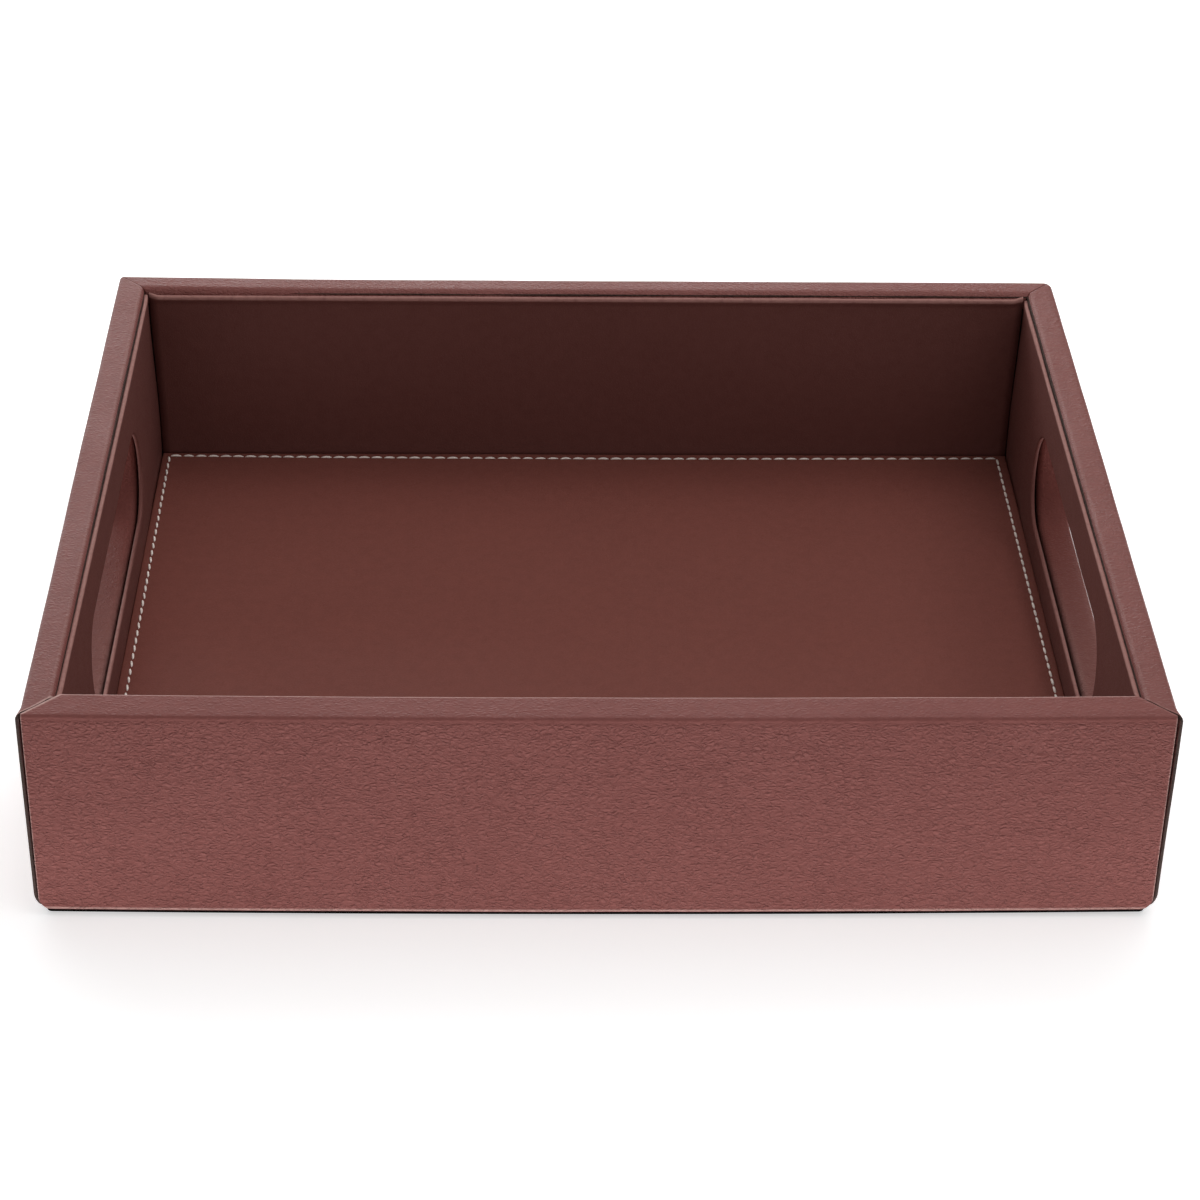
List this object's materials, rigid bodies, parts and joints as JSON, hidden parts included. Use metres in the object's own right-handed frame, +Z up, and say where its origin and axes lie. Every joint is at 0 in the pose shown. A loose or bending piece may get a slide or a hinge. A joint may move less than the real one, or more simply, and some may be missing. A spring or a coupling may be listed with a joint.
{
  "type": "leather serving tray",
  "caption": "Rectangular serving tray with upright leather-covered walls, a hand hole in each end wall and a leather floor stitched along its edges.",
  "frame": {"origin": "on the table, under the middle of the tray", "axes": "+X along the tray's length from the left end to the right end, +Y from the front wall to the back wall, +Z up"},
  "size_m": [0.34, 0.28, 0.073],
  "materials": {
    "outer_leather": "pebbled brown leathercloth with a soft sheen",
    "lining_leather": "fine-grained brown leathercloth, smoother than outside",
    "fibreboard": "raw fibreboard, out of sight",
    "card": "plain stiffener card, out of sight",
    "thread": "off-white polyester thread",
    "felt": "dark felt",
    "nail_steel": "plain wire nails, out of sight"
  },
  "bodies": {
    "root": {"front_wall_board": "fibreboard", "back_wall_board": "fibreboard", "left_wall_board": "fibreboard", "right_wall_board": "fibreboard", "base_board": "fibreboard", "front_left_brad_1": "nail_steel", "front_left_brad_2": "nail_steel", "front_left_brad_3": "nail_steel", "front_right_brad_1": "nail_steel", "front_right_brad_2": "nail_steel", "front_right_brad_3": "nail_steel", "back_left_brad_1": "nail_steel", "back_left_brad_2": "nail_steel", "back_left_brad_3": "nail_steel", "back_right_brad_1": "nail_steel", "back_right_brad_2": "nail_steel", "back_right_brad_3": "nail_steel", "front_base_pin_1": "nail_steel", "front_base_pin_2": "nail_steel", "front_base_pin_3": "nail_steel", "back_base_pin_1": "nail_steel", "back_base_pin_2": "nail_steel", "back_base_pin_3": "nail_steel", "left_base_pin_1": "nail_steel", "left_base_pin_2": "nail_steel", "right_base_pin_1": "nail_steel", "right_base_pin_2": "nail_steel", "front_outer_cover": "outer_leather", "back_outer_cover": "outer_leather", "left_outer_cover": "outer_leather", "right_outer_cover": "outer_leather", "left_handle_sleeve": "outer_leather", "right_handle_sleeve": "outer_leather", "front_lining_card": "card", "back_lining_card": "card", "left_lining_card": "card", "right_lining_card": "card", "front_lining_cover": "lining_leather", "back_lining_cover": "lining_leather", "left_lining_cover": "lining_leather", "right_lining_cover": "lining_leather", "floor_card": "card", "floor_cover": "lining_leather", "floor_stitching": "thread", "underside_sheet": "felt"}
  },
  "joints": []
}
